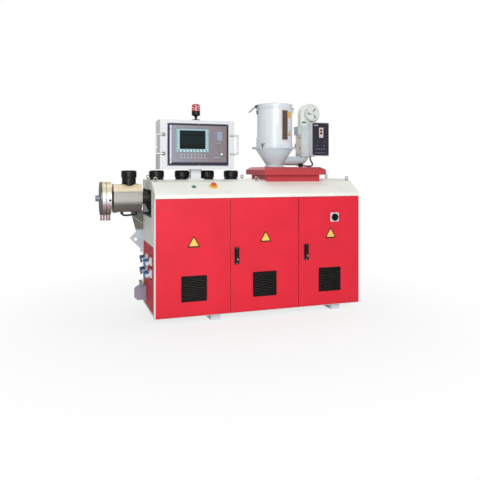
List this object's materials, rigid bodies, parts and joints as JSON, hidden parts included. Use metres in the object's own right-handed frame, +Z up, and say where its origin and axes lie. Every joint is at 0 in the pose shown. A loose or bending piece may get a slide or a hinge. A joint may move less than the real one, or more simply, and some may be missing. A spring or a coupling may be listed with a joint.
{
  "type": "single-screw plastic extruder",
  "caption": "Single-screw plastic extruder: sheet-metal cabinet with service doors, barrel with clamp flange, swivelling control box and hopper dryer.",
  "frame": {"origin": "on the floor under the middle of the machine's bounding box", "axes": "+X along the machine from the die to the drive end, +Y from the operator's side to the back, +Z up"},
  "size_m": [2.227, 0.693, 1.834],
  "materials": {
    "foot_paint": "satin",
    "cream_paint": "satin",
    "red_paint": "satin",
    "black_plastic": "matte",
    "zinc": "satin",
    "white_paint": "satin",
    "white_plastic": "gloss",
    "green_plastic": "gloss",
    "yellow_plastic": "satin",
    "orange_plastic": "gloss",
    "slate": "satin",
    "panel_grey": "matte",
    "red_lens": "gloss",
    "dark_steel": "dark",
    "steel": "turned",
    "stainless": "brushed",
    "bracket_paint": "satin",
    "rubber": "matte",
    "blue_plastic": "gloss",
    "grey_plastic": "satin",
    "casting": "painted",
    "hopper_paint": "gloss",
    "sight_glass": "clear",
    "dryer_paint": "satin"
  },
  "bodies": {
    "machine": {"feet": "foot_paint", "floor_pan": "cream_paint", "front_frame": "cream_paint", "back_wall": "cream_paint", "end_wall_left": "cream_paint", "end_wall_right": "cream_paint", "end_panel": "red_paint", "front_cover": "red_paint", "vent_left": "black_plastic", "hood": "cream_paint", "hood_top": "cream_paint", "lifting_eyes": "zinc", "post": "white_paint", "start_bezel": "steel", "stop_plate": "yellow_plastic", "barrel": "dark_steel", "clamp_front": "steel", "clamp_rear": "steel", "clamp_bolts": "steel", "barrel_guard": "stainless", "cooling_stacks": "black_plastic", "guard_bracket": "bracket_paint", "mouth_trim": "rubber", "guard_conduit": "rubber", "socket_bodies": "white_plastic", "socket_lids": "blue_plastic", "terminal_box": "grey_plastic", "feed_block": "casting", "hopper_stand": "red_paint", "hopper_cone": "hopper_paint", "hopper_shell": "hopper_paint", "sight_glass": "sight_glass", "hot_air_pipe": "dryer_paint", "heater_box": "dryer_paint", "blower": "dryer_paint", "dryer_box": "white_paint", "dryer_face": "slate", "dryer_cable": "rubber"},
    "door_middle": {"door_middle": "red_paint", "handle_middle": "black_plastic", "vent_middle": "black_plastic"},
    "door_right": {"door_right": "red_paint", "handle_right": "black_plastic", "vent_right": "black_plastic", "switch_plate": "white_plastic"},
    "main_switch": {"switch_knob": "black_plastic"},
    "control_box": {"control_box": "white_paint", "panel_frame": "slate", "operator_panel": "panel_grey", "box_handles": "steel", "beacon_base": "black_plastic", "beacon_lens": "red_lens"},
    "start_button": {"start_button": "green_plastic"},
    "stop_button": {"stop_button": "orange_plastic"},
    "hopper_lid": {"hopper_lid": "hopper_paint", "lid_latch": "zinc"},
    "screw": {"screw": "steel"}
  },
  "joints": [
    {"name": "door_middle_hinge", "type": "hinge", "parent": "machine", "child": "door_middle", "pos_m": [0.5185, -0.3005, 0.5], "axis": [0, 0, 1], "range_deg": [0, 90]},
    {"name": "door_right_hinge", "type": "hinge", "parent": "machine", "child": "door_right", "pos_m": [1.1025, -0.3005, 0.5], "axis": [0, 0, 1], "range_deg": [0, 110]},
    {"name": "main_switch_turn", "type": "hinge", "parent": "door_right", "child": "main_switch", "pos_m": [0.8705, -0.3085, 0.812], "axis": [0, 1, 0], "range_deg": [0, 90]},
    {"name": "control_box_swivel", "type": "hinge", "parent": "machine", "child": "control_box", "pos_m": [-0.3055, -0.0545, 1.226], "axis": [0, 0, 1], "range_deg": [-45, 45]},
    {"name": "start_button_push", "type": "slide", "parent": "machine", "child": "start_button", "axis": [0, 0.5344, -0.8452], "range_m": [0, 0.003], "stiffness_N_per_m": 400, "springref_m": -0.002},
    {"name": "stop_button_push", "type": "slide", "parent": "machine", "child": "stop_button", "axis": [0, 0.5344, -0.8452], "range_m": [0, 0.005]},
    {"name": "hopper_lid_hinge", "type": "hinge", "parent": "machine", "child": "hopper_lid", "pos_m": [0.6265, 0.0365, 1.776], "axis": [0, 1, 0], "range_deg": [0, 90]},
    {"name": "screw_spin", "type": "hinge", "parent": "machine", "child": "screw", "pos_m": [-0.6865, 0.0365, 0.989], "axis": [1, 0, 0], "continuous": true}
  ]
}
